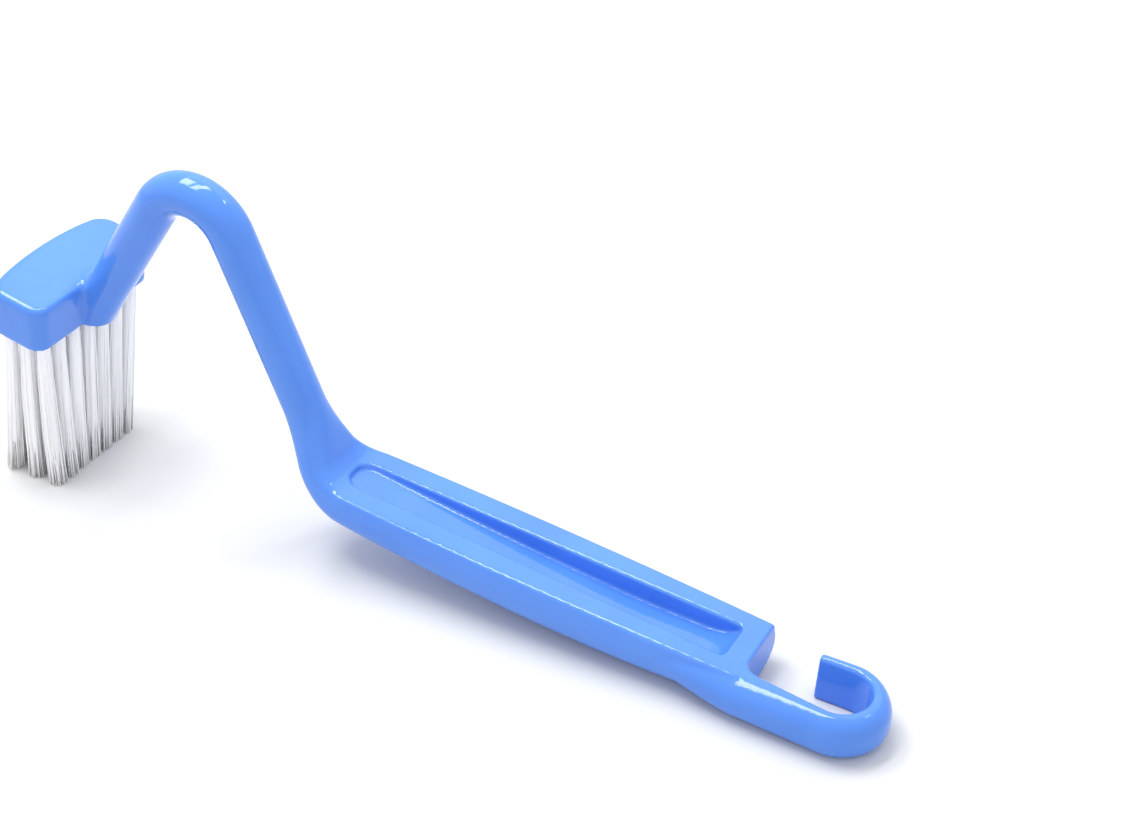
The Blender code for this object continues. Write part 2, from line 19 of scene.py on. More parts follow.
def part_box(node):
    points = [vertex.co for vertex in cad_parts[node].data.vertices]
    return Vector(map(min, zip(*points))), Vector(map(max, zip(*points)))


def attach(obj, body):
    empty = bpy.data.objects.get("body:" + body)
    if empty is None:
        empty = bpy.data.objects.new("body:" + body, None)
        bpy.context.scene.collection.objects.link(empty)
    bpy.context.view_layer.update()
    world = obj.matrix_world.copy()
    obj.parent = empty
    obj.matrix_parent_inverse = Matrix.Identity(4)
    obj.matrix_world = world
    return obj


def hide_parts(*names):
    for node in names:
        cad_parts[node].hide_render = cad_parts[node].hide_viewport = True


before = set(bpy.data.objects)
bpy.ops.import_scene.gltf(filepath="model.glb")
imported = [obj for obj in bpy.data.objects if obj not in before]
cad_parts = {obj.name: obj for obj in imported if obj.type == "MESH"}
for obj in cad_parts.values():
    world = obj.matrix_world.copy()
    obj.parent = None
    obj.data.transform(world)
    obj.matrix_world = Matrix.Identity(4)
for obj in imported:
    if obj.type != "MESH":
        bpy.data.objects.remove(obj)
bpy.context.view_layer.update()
MM = 0.001

# %% [markdown]
# The camera comes before the object, because every look at the work goes through it. The brush
# was photographed from above and to the right of its grip with a lens a little longer than
# normal, so the straight edges barely converge. The place and angles below were found by fitting
# the brush's own straight runs and bends, and they aren't changed to hide a difference.

# %% Place the camera
degrees_down, degrees_left = 35.71, 29.35
camera_data = bpy.data.cameras.new("camera")
camera_data.lens = 61.7
camera_data.sensor_width = 36.0
camera = bpy.data.objects.new("camera", camera_data)
camera.location = (0.28572, -0.41718, 0.42677)
camera.rotation_euler = (math.radians(90 - degrees_down), 0.0, math.radians(degrees_left))
bpy.context.scene.collection.objects.link(camera)
bpy.context.scene.camera = camera
print("camera", tuple(round(c, 3) for c in camera.location), "lens", camera_data.lens)

# %% [markdown]
# The moulding is one piece of plastic, so its skin has no seam. The frame's own solid is made of
# flat facets, which a glossy finish would show. The skin is therefore lofted again from the same
# sizes with many more steps, joined, and given the soft edges that a mould leaves. These are the
# sizes, in metres, in an upright plane with x = 0 where the axes of the two legs would cross.

# %% Sizes of the neck and the grip
tube_radius = 7.5 * MM
crossing_height = 138.5 * MM
front_slope = math.radians(55.4)
rear_slope = math.radians(68.6)
bend_radius = 17.0 * MM
grip_length = 158.2 * MM
grip_slope = math.radians(5.4)
grip_end_height = 15.15 * MM
rim_half = 14.5 * MM
side_swell, side_bow = 1.2 * MM, 1.3 * MM
axis_depth = 6.5 * MM
rim_radius = 1.3 * MM
belly_place = 88.0 * MM
bend_depth, belly_depth, end_depth = 14.0 * MM, 19.6 * MM, 14.0 * MM
belly_front_power, belly_end_power = 1.9, 2.0
belly_roundness = 2.5
widening_start, widening_end = 20.0 * MM, 2.0 * MM

legs_crossing = Vector((0.0, crossing_height))
front_down = Vector((-math.cos(front_slope), -math.sin(front_slope)))
rear_down = Vector((math.cos(rear_slope), -math.sin(rear_slope)))
grip_along = Vector((math.cos(grip_slope), -math.sin(grip_slope)))
grip_crossing_height = grip_end_height - axis_depth + grip_length * math.sin(grip_slope)
rear_length = (crossing_height - grip_crossing_height) / math.sin(rear_slope)
grip_crossing = legs_crossing + rear_down * rear_length
grip_end = grip_crossing + grip_along * grip_length
grip_end_top = grip_end + Vector((0.0, axis_depth))
print("grip ends at x", round(grip_end_top.x / MM, 1), "mm")

# %% [markdown]
# The head is a block that leans towards the handle, with three rows of holes in its underside.
# The brush stands on the tips of its front bristles, so the height of the block isn't chosen: it
# follows from the length and the lean of the bristles.

# %% Sizes of the head, its holes and its bristles
head_tilt = math.radians(10.6)
head_width = 58.8 * MM
head_depth = 22.6 * MM
head_bow = 3.8 * MM
head_thickness = 17.5 * MM
front_corner, back_corner = 5.2 * MM, 7.5 * MM
head_edge = 2.2 * MM
neck_inset = 1.8 * MM
columns, rows = 7, 3
side_margin, front_margin, row_pitch = 6.6 * MM, 4.2 * MM, 7.2 * MM
hole_radius, hole_depth = 2.7 * MM, 12.0 * MM
bristle_length = 58.4 * MM
trim_slope = math.radians(8.0)
floor_cut = 0.5 * MM
tuft_lean, row_splay = 6.8 * MM, 2.5 * MM
side_lean, side_gather = 8.2 * MM, 4.6 * MM
anchor_level = 9.4 * MM

head_forward = Vector((math.cos(head_tilt), -math.sin(head_tilt)))
tip_place = tuft_lean + row_splay - front_margin
head_height = (bristle_length * math.cos(head_tilt) + tip_place * math.sin(head_tilt) - floor_cut)
foot_height = head_height + neck_inset * math.sin(head_tilt)
neck_foot = legs_crossing + front_down * (crossing_height - foot_height) / math.sin(front_slope)
head_corner = neck_foot + head_forward * neck_inset
column_pitch = (head_width - 2 * side_margin) / (columns - 1)
print("head stands", round(head_height / MM, 1), "mm above the floor")

# %% [markdown]
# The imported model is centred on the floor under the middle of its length. One of its anchors
# shows how far that moved everything along X, because its place in the head is known.

# %% Find the shift along X, and the frames of the head and the grip
low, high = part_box("anchor_r1_c4")
head_turn = Matrix.Rotation(head_tilt, 4, "Y")
anchor_in_head = head_turn @ Vector((-front_margin, 0.0, anchor_level))
shift = (low.x + high.x) / 2 - head_corner.x - anchor_in_head.x
brush_place = Matrix.Translation((shift, 0.0, 0.0))
head_place = brush_place @ Matrix.Translation((head_corner.x, 0.0, head_corner.y)) @ head_turn
grip_place = (brush_place @ Matrix.Translation((grip_end_top.x, 0.0, grip_end_top.y))
              @ Matrix.Rotation(grip_slope, 4, "Y"))
print("shift", round(shift / MM, 3), "mm")

# %% [markdown]
# A few small helpers do all the shaping: an arc, the rounding of a corner in a line, a soft step
# from 0 to 1, and a skin through a row of rings. A ring-by-ring skin was chosen over a curve with
# a bevel profile, because the section changes along the way.

# %% Helpers for arcs, rounded corners and soft steps
def arc(centre, radius, start, end, steps):
    angles = [start + (end - start) * k / steps for k in range(steps + 1)]
    return [centre + radius * Vector((math.cos(a), math.sin(a))) for a in angles]


def rounded_corner(before, corner, after, radius, step=math.radians(3), fewest=4):
    back = (before - corner).normalized()
    ahead = (after - corner).normalized()
    half = back.angle(ahead) / 2
    centre = corner + (back + ahead).normalized() * radius / math.sin(half)
    first = corner + back * radius / math.tan(half) - centre
    turn = first.angle_signed(corner + ahead * radius / math.tan(half) - centre)
    steps = max(fewest, math.ceil(abs(turn) / step))
    start = math.atan2(first.y, first.x)
    return arc(centre, radius, start, start - turn, steps)


def smooth_step(value, start, end):
    share = min(max((value - start) / (end - start), 0.0), 1.0)
    return share * share * (3 - 2 * share)


print("a soft step at 0, half and 1", [smooth_step(k / 2, 0.0, 1.0) for k in range(3)])

# %% Helpers for skins
def mesh_of(name, shape):
    bmesh.ops.recalc_face_normals(shape, faces=shape.faces)
    mesh = bpy.data.meshes.new(name)
    shape.to_mesh(mesh)
    shape.free()
    return mesh


def add_rings(shape, rings):
    loops = [[shape.verts.new(point) for point in ring] for ring in rings]
    for loop, following in zip(loops, loops[1:]):
        for k in range(len(loop)):
            sides = (loop[k - 1], loop[k], following[k], following[k - 1])
            shape.faces.new(sides).smooth = True
    shape.faces.new(loops[0])
    shape.faces.new(loops[-1])


def skin(name, rings):
    shape = bmesh.new()
    add_rings(shape, rings)
    return mesh_of(name, shape)


def slab(name, outline, low, high):
    """A prism over an outline in XY."""
    return skin(name, [[Vector((x, y, z)) for x, y in outline] for z in (low, high)])


print("skin helpers ready")

# %% [markdown]
# The neck is a round bar and the grip is a flat-topped bar with a soft belly. On the real brush
# one runs into the other round the lower bend, so both are one skin whose section changes from
# round to flat-topped. Each section is listed point by point in the same order, and the skin
# blends between matching points.

# %% Sections of the bar
quarter_steps, rim_steps = 12, 4
side_fullness = 0.1 * MM


def round_section():
    angles = [k * math.pi / 2 / quarter_steps for k in range(4 * quarter_steps)]
    return [tube_radius * Vector((math.cos(a), math.sin(a))) for a in angles]


def grip_section(depth, bow):
    half = rim_half + bow
    widest = half + side_swell
    corner = Vector((half - rim_radius, axis_depth - rim_radius))
    rounding = arc(corner, rim_radius, 0.0, math.pi / 2, rim_steps)
    side = [Vector((widest, 0.0)), Vector((half + side_swell / 2, axis_depth / 2))]
    top = [Vector((half / 2, axis_depth)), Vector((half / 4, axis_depth))]
    upper = [side[0], side[0].lerp(side[1], 0.5) + Vector((side_fullness, 0.0)), side[1],
             side[1].lerp(rounding[0], 0.5) + Vector((side_fullness / 2, 0.0)), *rounding,
             rounding[-1].lerp(top[0], 0.5), *top]
    lower = []
    for k in range(1, quarter_steps + 1):
        angle = k * math.pi / 2 / quarter_steps
        across = widest * max(math.cos(angle), 0.0) ** (2 / belly_roundness)
        down = (depth - axis_depth) * math.sin(angle) ** (2 / belly_roundness)
        lower.append(Vector((across if k < quarter_steps else 0.0, -down)))
    left_upper = [Vector((-p.x, p.y)) for p in reversed(upper)]
    left_lower = [Vector((-p.x, p.y)) for p in lower[:-1]]
    return [*upper, Vector((0.0, axis_depth)), *left_upper, *left_lower, *reversed(lower)]


def grip_depth(distance):
    if distance < belly_place:
        share = 1 - distance / belly_place
        return belly_depth - (belly_depth - bend_depth) * share ** belly_front_power
    share = (distance - belly_place) / (grip_length - belly_place)
    return belly_depth - (belly_depth - end_depth) * share ** belly_end_power


def grip_bow(distance):
    share = min(distance / grip_length, 1.0)
    return side_bow * 4 * share * (1 - share)


print("points in a section", len(round_section()), len(grip_section(belly_depth, side_bow)))

# %% [markdown]
# The bar follows one line in the upright plane: up the front leg, round the pointed bend, down
# the rear leg, round the lower bend and along the grip. A section is set square to the line at
# each place. The last one stands upright, because the grip ends in an upright face.

# %% Skin along both legs and the grip
widening_steps, grip_steps = 8, 48


def neck_and_grip():
    foot = neck_foot + front_down * tube_radius
    apex = rounded_corner(foot, legs_crossing, grip_crossing, bend_radius)
    bend = rounded_corner(legs_crossing, grip_crossing, grip_end, bend_radius)
    widening = [bend[0] - rear_down * widening_start * (1 - k / widening_steps)
                for k in range(widening_steps)]
    rest = [bend[-1].lerp(grip_end, k / grip_steps) for k in range(1, grip_steps + 1)]
    line = [foot, *apex, *widening, *bend, *rest]
    travelled = [0.0]
    for here, following in zip(line, line[1:]):
        travelled.append(travelled[-1] + (following - here).length)
    first = 1 + len(apex) + len(widening)
    last = first + len(bend) - 1
    rings = []
    for k, place in enumerate(line):
        before, after = line[max(k - 1, 0)], line[min(k + 1, len(line) - 1)]
        along = ((after - place).normalized() + (place - before).normalized()).normalized()
        if k >= last:
            along = grip_along
        if k == len(line) - 1:
            along = Vector((1.0, 0.0))
        up = Vector((-along.y, along.x))
        share = smooth_step(travelled[k], travelled[first] - widening_start,
                            travelled[last] + widening_end)
        distance = max((place - grip_crossing).dot(grip_along), 0.0)
        flat = grip_section(grip_depth(distance), grip_bow(distance))
        section = [a.lerp(b, share) for a, b in zip(round_section(), flat)]
        rings.append([Vector((place.x + up.x * p.y, p.x, place.y + up.y * p.y)) for p in section])
    return skin("neck_and_grip", rings)


bar_mesh = neck_and_grip()
bar_mesh.transform(brush_place)
print("bar faces", len(bar_mesh.polygons))

# %% [markdown]
# The head is a block with a straight front, a bowed back and rounded corners. Its outline is
# raised into a prism and its edges are rounded with a bevel, which is quicker to set than
# modelling each edge. The prism starts below the underside, and the part below is cut off later,
# so that the bevel rounds the upper edge only and the underside stays flat.

# %% Head block
bow_steps, corner_reach = 24, 6
clear_share = 1.05
below_underside = 6 * MM


def head_outline():
    half = head_width / 2
    bowed = [Vector((-head_depth - head_bow * (1 - y * y), half * y))
             for y in (1 - 2 * k / bow_steps for k in range(bow_steps + 1))]
    corners = [Vector((0.0, -half)), Vector((0.0, half)), *bowed]
    radii = [front_corner] * 2 + [back_corner] + [0.0] * (bow_steps - 1) + [back_corner]
    outline = []
    for k, (corner, radius) in enumerate(zip(corners, radii)):
        if radius == back_corner:
            step = corner_reach if k == 2 else -corner_reach
            near = corners[k + step] if k == 2 else corners[(k + 1) % len(corners)]
            before = corners[k - 1] if k == 2 else corners[k + step]
            outline += rounded_corner(before, corner, near, radius)
        elif radius:
            outline += rounded_corner(corners[k - 1], corner, corners[(k + 1) % len(corners)],
                                      radius)
        elif abs(corner.y) < half - back_corner * clear_share:
            outline.append(corner)
    return outline


block_mesh = slab("head_block", head_outline(), -below_underside, head_thickness)
print("head outline points", len(head_outline()))

# %% [markdown]
# The arm is a bar that swells out of the grip's side, runs past its notched end, turns round the
# hook and stops in a cut tip. Its section is measured outwards from the inner wall, so the hook's
# opening stays true while the outer side can be as round as the real one. The inner wall leans
# round the hook, as a mould's draft makes it lean.

# %% Sizes of the arm and the hook
hook_height = 15.0 * MM
hook_inner = 9.7 * MM
hook_reach = 29.6 * MM
hook_side = 2.9 * MM
tip_length = 11.4 * MM
arm_splay = math.radians(7.5)
run_back = 38.0 * MM
start_width, root_width, arm_width = 10.8 * MM, 10.5 * MM, 7.2 * MM
bend_width, tip_width = 5.5 * MM, 5.2 * MM
hook_draft = 2.6 * MM
underside_rise, start_rise = 0.5 * MM, 6.0 * MM
upper_rounding, lower_rounding, height_rounding = 0.7, 0.6, 0.46
inner_edge, inner_low_edge = 1.2 * MM, 0.6 * MM
notch_radius = 4.7 * MM
run_steps, bend_steps, tip_steps = 16, 64, 8
bend_thinning_start, bend_thinning_end = 0.35, 0.85
heading = Vector((math.cos(arm_splay), -math.sin(arm_splay)))
print("hook is", round(2 * hook_inner / MM, 1), "mm across inside")

# %% Places and widths along the arm and the hook
def hook_stations():
    centre = Vector((grip_end_top.x + hook_reach, -hook_side))
    bend = arc(centre, hook_inner, -math.pi / 2 - arm_splay, math.pi / 2, bend_steps)
    arm_length = (bend[0].x - grip_end_top.x) / heading.x
    stations = []
    for k in range(run_steps):
        share = 1 - k / run_steps
        width = root_width + (start_width - root_width) * share
        stations.append((bend[0] - heading * (arm_length + run_back * share), heading, width))
    for k in range(run_steps):
        share = k / run_steps
        width = root_width + (arm_width - root_width) * share
        stations.append((bend[0] - heading * arm_length * (1 - share), heading, width))
    for k, place in enumerate(bend):
        outward = (place - centre).normalized()
        thinning = smooth_step(k / bend_steps, bend_thinning_start, bend_thinning_end)
        width = arm_width + (bend_width - arm_width) * thinning
        stations.append((place, Vector((-outward.y, outward.x)), width))
    for k in range(1, tip_steps + 1):
        place = bend[-1] - Vector((tip_length * k / tip_steps, 0.0))
        width = bend_width + (tip_width - bend_width) * k / tip_steps
        stations.append((place, Vector((-1.0, 0.0)), width))
    return stations


print("places along the arm and the hook", len(hook_stations()))

# %% Skin of the arm and the hook
inner_edge_share, inner_low_share = 0.3, 0.2
underside_end_share = 0.8
draft_start = -0.5
buried_inset = 3 * MM
corner_steps = 8


def bar_section(width, low, high, draft):
    upper = Vector((width * upper_rounding, (high - low) * height_rounding))
    lower = Vector((width * lower_rounding, (high - low) * height_rounding))
    inner_top = Vector((1.0, 1.0)) * min(inner_edge, width * inner_edge_share)
    inner_low = Vector((1.0, 1.0)) * min(inner_low_edge, width * inner_low_share)
    points = []
    for turn, radii, side in ((0, upper, width), (1, inner_top, 0.0), (2, inner_low, 0.0),
                              (3, lower, width)):
        centre = Vector((side + (radii.x if side == 0.0 else -radii.x),
                         high - radii.y if turn < 2 else low + radii.y))
        for unit in arc(Vector((0.0, 0.0)), 1.0, turn * math.pi / 2, (turn + 1) * math.pi / 2,
                        corner_steps):
            point = centre + Vector((unit.x * radii.x, unit.y * radii.y))
            down = (high - point.y) / (high - low)
            points.append(point - Vector((draft * down * (1 - point.x / width), 0.0)))
    return points


def arm_and_hook():
    rings = []
    for k, (place, along, width) in enumerate(hook_stations()):
        outward = Vector((along.y, -along.x))
        past = place.x - grip_end_top.x
        low = underside_rise * (1 - smooth_step(past, 0.0, hook_reach * underside_end_share))
        low += start_rise * smooth_step(-past, 0.0, run_back)
        draft = hook_draft * smooth_step(-along.x, draft_start, 1.0)
        high = hook_height + max(-past, 0.0) * math.tan(grip_slope)
        if k == 0:
            low, high = low + buried_inset, high - buried_inset
        rings.append([Vector((place.x + outward.x * p.x, place.y + outward.y * p.x, p.y))
                      for p in bar_section(width, low, high, draft)])
    return skin("arm_and_hook", rings)


hook_mesh = arm_and_hook()
hook_mesh.transform(brush_place)
print("arm and hook faces", len(hook_mesh.polygons))

# %% [markdown]
# A small fillet fills the corner between the grip's end and the arm. A moulding gets one so that
# the corner doesn't crack. It is a prism with one hollow side, sunk into both neighbours.

# %% Fillet in the notch
fillet_steps = 12
below_top = 0.1 * MM


def notch_fillet():
    bend_x = hook_reach - hook_inner * math.sin(arm_splay)
    wall = (-hook_side - hook_inner * math.cos(arm_splay)
            + (bend_x - notch_radius) * math.tan(arm_splay))
    centre = Vector((grip_end_top.x + notch_radius, wall + notch_radius))
    sunk = root_width / 3
    corner = grip_end_top.x - sunk
    outline = [*arc(centre, notch_radius, math.pi, math.pi * 1.5, fillet_steps),
               Vector((centre.x, wall - sunk)), Vector((corner, wall - sunk)),
               Vector((corner, centre.y))]
    return slab("notch_fillet", outline, underside_rise * 2, hook_height - below_top)


fillet_mesh = notch_fillet()
fillet_mesh.transform(brush_place)
print("fillet faces", len(fillet_mesh.polygons))

# %% [markdown]
# The long recess in the grip's top and the round holes in the head's underside are cut out.
# Cutters with the shape of the hollow keep every hollow exact, and they are thrown away after.
# The recess starts in a low step, deepens along the grip and rises in a short ramp at its end.
# Its lip is rounded here, because light catches there first on a glossy moulding.

# %% Sizes of the recess
recess_width, recess_front_width = 14.8 * MM, 12.0 * MM
recess_front_depth, recess_deepest, recess_end_depth = 1.4 * MM, 7.0 * MM, 5.6 * MM
deepest_share = 0.72
recess_front, recess_end = 8.0 * MM, 7.8 * MM
recess_front_corner, recess_end_corner = 5.0 * MM, 1.5 * MM
floor_radius, front_radius, lip_radius = 1.0 * MM, 0.8 * MM, 0.9 * MM
end_ramp, end_lip = 12.0 * MM, 0.5 * MM
deepening_power, shallowing_power = 1.5, 2


def recess_depth(share):
    if share < deepest_share:
        left = (1 - share / deepest_share) ** deepening_power
        return recess_deepest - (recess_deepest - recess_front_depth) * left
    past = (share - deepest_share) / (1 - deepest_share)
    return recess_deepest - (recess_deepest - recess_end_depth) * past ** shallowing_power


print("recess depth mm", [round(recess_depth(k / 4) / MM, 1) for k in range(5)])

# %% Cutter for the recess
end_steps, run_of_steps, lip_steps, floor_steps = 12, 64, 6, 10
floor_width_share, floor_depth_share, lip_depth_share = 0.8, 0.5, 0.45
cutter_rise = 9 * MM


def rounded_off(radius, distance):
    if distance >= radius:
        return 0.0
    return radius - math.sqrt(radius ** 2 - (radius - distance) ** 2)


def recess():
    length = grip_length - recess_front - recess_end
    shares = [1 - math.cos(k * math.pi / (2 * end_steps)) for k in range(end_steps + 1)]
    front = [recess_front_corner * share for share in shares]
    ramp = [length - end_ramp * share for share in reversed(shares)]
    run = ramp[0] - front[-1]
    middle = [front[-1] + run * k / run_of_steps for k in range(1, run_of_steps)]
    rings = []
    for distance in [*front, *middle, *ramp]:
        share, to_end = distance / length, length - distance
        width = recess_front_width + (recess_width - recess_front_width) * share
        half = width / 2 - rounded_off(recess_front_corner, distance)
        half -= rounded_off(recess_end_corner, to_end)
        depth = recess_depth(share) - rounded_off(front_radius, distance)
        depth -= (depth - end_lip) * rounded_off(1.0, min(to_end / end_ramp, 1.0))
        radius = min(floor_radius, floor_width_share * half, floor_depth_share * depth)
        lip = min(lip_radius, lip_depth_share * depth)
        rounding = arc(Vector((half + lip, -lip)), lip, math.pi / 2, math.pi, lip_steps)
        floor = [*arc(Vector((half - radius, radius - depth)), radius,
                      0.0, -math.pi / 2, floor_steps),
                 *arc(Vector((radius - half, radius - depth)), radius,
                      -math.pi / 2, -math.pi, floor_steps)]
        side = [Vector((half + lip, cutter_rise)), *rounding]
        section = [*side, *floor, *[Vector((-p.x, p.y)) for p in reversed(side)]]
        rings.append([Vector((distance - grip_length + recess_front, p.x, p.y)) for p in section])
    return skin("recess", rings)


recess_mesh = recess()
print("recess faces", len(recess_mesh.polygons))

# %% Cutters for the holes and the underside
hole_sides, hole_overrun = 32, 3 * MM
under_back, under_front, under_side, under_depth = 60 * MM, 30 * MM, 40 * MM, 15 * MM


def hole_places():
    for row in range(1, rows + 1):
        for column in range(1, columns + 1):
            x = -front_margin - (row - 1) * row_pitch
            yield row, column, x, (column - (columns + 1) / 2) * column_pitch


def holes():
    shape = bmesh.new()
    for _, _, x, y in hole_places():
        placing = Matrix.Translation((x, y, hole_depth / 2 - hole_overrun / 2))
        bmesh.ops.create_cone(shape, cap_ends=True, segments=hole_sides, radius1=hole_radius,
                              radius2=hole_radius, depth=hole_depth + hole_overrun,
                              matrix=placing)
    return mesh_of("holes", shape)


holes_mesh = holes()
under = [(-under_back, -under_side), (under_front, -under_side),
         (under_front, under_side), (-under_back, under_side)]
under_mesh = slab("under", under, -under_depth, 0.0)
print("holes", rows * columns)

# %% [markdown]
# The shapes are joined and cut with exact Booleans, because these keep every size. The cutters
# and the joined shapes are helper objects, and only the mesh that comes out of them is kept.

# %% Join and cut the moulding
bevel_angle = math.radians(50)


def helper(name, mesh, place=None, bevel=0.0, segments=6):
    made = bpy.data.objects.new(name, mesh)
    bpy.context.scene.collection.objects.link(made)
    if place:
        made.matrix_world = place
    if bevel:
        edges = made.modifiers.new("bevel", "BEVEL")
        edges.width, edges.segments = bevel, segments
        edges.limit_method, edges.angle_limit = "ANGLE", bevel_angle
    return made


def applied(made):
    graph = bpy.context.evaluated_depsgraph_get()
    return bpy.data.meshes.new_from_object(made.evaluated_get(graph))


moulding = helper("moulding", bar_mesh)
joined = [helper("head_block", block_mesh, head_place, head_edge), helper("hook", hook_mesh),
          helper("fillet", fillet_mesh)]
cut = [helper("under", under_mesh, head_place), helper("holes", holes_mesh, head_place),
       helper("recess", recess_mesh, grip_place)]
for operation, others in (("UNION", joined), ("DIFFERENCE", cut)):
    for other in others:
        boolean = moulding.modifiers.new(other.name, "BOOLEAN")
        boolean.operation, boolean.solver, boolean.object = operation, "EXACT", other
bpy.context.view_layer.update()
whole = applied(moulding)
print("joined faces", len(whole.polygons))
for helper_object in (moulding, *joined, *cut):
    bpy.data.objects.remove(helper_object)

# %% [markdown]
# A mould has no knife edges, so every edge gets a little rounding. The joined shape is first
# remeshed into small even squares, on which smoothing works alike everywhere. A remesh leaves
# faint stair marks on slopes, so each of its points is then moved onto the exact shape. A bevel
# on the joined mesh would be simpler, but bevels break up where many thin faces meet.

# %% Remesh the moulding onto its exact shape
remesh_size = 0.45 * MM
exact = helper("exact_shape", whole)
moulding = helper("handle_skin", whole)
remesh = moulding.modifiers.new("even squares", "REMESH")
remesh.mode, remesh.voxel_size = "VOXEL", remesh_size
settle = moulding.modifiers.new("onto the exact shape", "SHRINKWRAP")
settle.wrap_method, settle.target = "NEAREST_SURFACEPOINT", exact
bpy.context.view_layer.update()
skin_mesh = applied(moulding)
moulding.modifiers.clear()
moulding.data = skin_mesh
bpy.data.objects.remove(exact)
print("remeshed faces", len(skin_mesh.polygons))

# %% [markdown]
# Smoothing moves each point towards the middle of its neighbours. Here it is written out with
# arrays, so that every round can be weighted by place. A few rounds everywhere round the edges
# by a little under a millimetre. Many more near the root of the neck make the wide fillet with
# which the real neck grows out of the head.

# %% Helpers for smoothing
def smoothed(points, edges, weights, rounds):
    count = np.bincount(edges.ravel(), minlength=len(points)).clip(1)[:, None]
    for _ in range(rounds):
        total = np.zeros_like(points)
        for axis in range(3):
            total[:, axis] = (np.bincount(edges[:, 0], points[edges[:, 1], axis], len(points))
                              + np.bincount(edges[:, 1], points[edges[:, 0], axis], len(points)))
        points = points + weights[:, None] * (total / count - points)
    return points


def nearness(points, centre, reach, steepness=1.6):
    share = 1 - np.linalg.norm(points - np.array(centre), axis=1) / reach
    return np.clip(share * steepness, 0.0, 1.0)


print("smoothing helpers ready")

# %% Smooth the skin
step_weight = 0.5
rounds_everywhere, rounds_at_root = 8, 150
root_reach, root_set_back = 17 * MM, 1.0 * MM
points = np.empty(len(skin_mesh.vertices) * 3)
skin_mesh.vertices.foreach_get("co", points)
points = points.reshape(-1, 3)
edges = np.empty(len(skin_mesh.edges) * 2, int)
skin_mesh.edges.foreach_get("vertices", edges)
edges = edges.reshape(-1, 2)
points = smoothed(points, edges, np.full(len(points), step_weight), rounds_everywhere)
neck_root = head_place @ Vector((-root_set_back, 0.0, head_thickness))
root_weights = step_weight * nearness(points, neck_root, root_reach)
points = smoothed(points, edges, root_weights, rounds_at_root)
skin_mesh.vertices.foreach_set("co", points.ravel())
skin_mesh.update()
skin_mesh.shade_smooth()
print("skin box mm", (points.min(0) / MM).round(1), (points.max(0) / MM).round(1))

# %% [markdown]
# Each tuft is a bundle of nylon filaments, folded in two and driven into its hole. The tufts lean
# forward and to one side, each row and column a little differently. Two parts make up a tuft
# here. The filaments that can be told apart are real thin tubes, about half a millimetre thick,
# because hair strands would be lost when the part is exported. The ones inside the bundle are
# one closed body, the packed middle. Without it, light sinks between the tubes and the bundle
# looks grey.

# %% Sizes of the filaments
filaments_per_tuft = 64
filament_radius = 0.24 * MM
filament_rings = 7
root_depth = 8 * MM
tuft_tip_radius = 3.0 * MM
drift_power = 1.25
packed_share, packed_length = 0.86, 0.90
packed_steps, packed_sides = 12, 24
taper_start, taper = 0.88, 0.7


def tuft_splay(row, column):
    side = (column - (columns + 1) / 2) / ((columns - 1) / 2)
    front = 1 - 2 * (row - 1) / (rows - 1)
    return Vector((tuft_lean + row_splay * front, -side_lean - side_gather * side, 0.0))


print("lean of the middle tuft mm", [round(c / MM, 1) for c in tuft_splay(2, 4)])

# %% Packed middle of a tuft
def packed_middle(row, column, x, y):
    splay = tuft_splay(row, column)
    rings = []
    for k in range(packed_steps + 1):
        share = packed_length * k / packed_steps
        drift = share ** drift_power
        radius = packed_share * (hole_radius + (tuft_tip_radius - hole_radius) * drift)
        radius *= 1 - taper * smooth_step(share, packed_length * taper_start, packed_length)
        middle = Vector((x, y, -bristle_length * share)) + splay * drift
        rings.append([middle + radius * Vector((math.cos(a), math.sin(a), 0.0))
                      for a in (side * 2 * math.pi / packed_sides for side in range(packed_sides))])
    rings.insert(0, [point + Vector((0.0, 0.0, root_depth)) for point in rings[0]])
    return rings


print("rings in a packed middle", len(packed_middle(1, 1, 0.0, 0.0)))

# %% [markdown]
# A filament starts in the hole, drifts outwards, bows a little and ends in the plane in which the
# tips are trimmed. Tips that would reach below the floor are cut off level with it. Chance moves
# each tip and each bow slightly, and it is seeded for each tuft, so every run is the same.

# %% Lines and skins of the filaments
stray_spread, bow_spread = 0.35, 0.25
shortest, longest = -0.5, 0.1


def floor_height(point):
    return head_corner.y - point.x * math.sin(head_tilt) + point.z * math.cos(head_tilt)


def filament_line(k, row, column, x, y, chance):
    reach = math.sqrt((k + 0.5) / filaments_per_tuft)
    angle = k * math.pi * (3 - math.sqrt(5))
    outward = Vector((math.cos(angle), math.sin(angle), 0.0)) * reach
    splay = tuft_splay(row, column)
    stray = Vector((chance.gauss(0.0, stray_spread), chance.gauss(0.0, stray_spread), 0.0)) * MM
    bow = Vector((chance.gauss(0.0, bow_spread), chance.gauss(0.0, bow_spread), 0.0)) * MM
    length = bristle_length + chance.uniform(shortest, longest) * MM
    tip = splay + outward * tuft_tip_radius + stray
    tip.z = -length - (tip_place - (x + tip.x)) * math.tan(trim_slope)
    root = outward * (hole_radius - 2 * filament_radius)
    line = [Vector((x, y, root_depth)) + root]
    for ring in range(filament_rings):
        share = ring / (filament_rings - 1)
        drift = share ** drift_power
        place = root.lerp(Vector((tip.x, tip.y, 0.0)), drift)
        place += bow * math.sin(math.pi * share)
        line.append(Vector((x + place.x, y + place.y, tip.z * share)))
    return line


def add_filament(shape, line, radius):
    rings = []
    for k, place in enumerate(line):
        ring = [place + radius * Vector((math.cos(a), math.sin(a), 0.0))
                for a in (math.pi / 4 + side * math.pi / 2 for side in range(4))]
        if k == len(line) - 1:
            for point in ring:
                point.z += max(-floor_height(point) / math.cos(head_tilt), 0.0)
        rings.append(ring)
    add_rings(shape, rings)


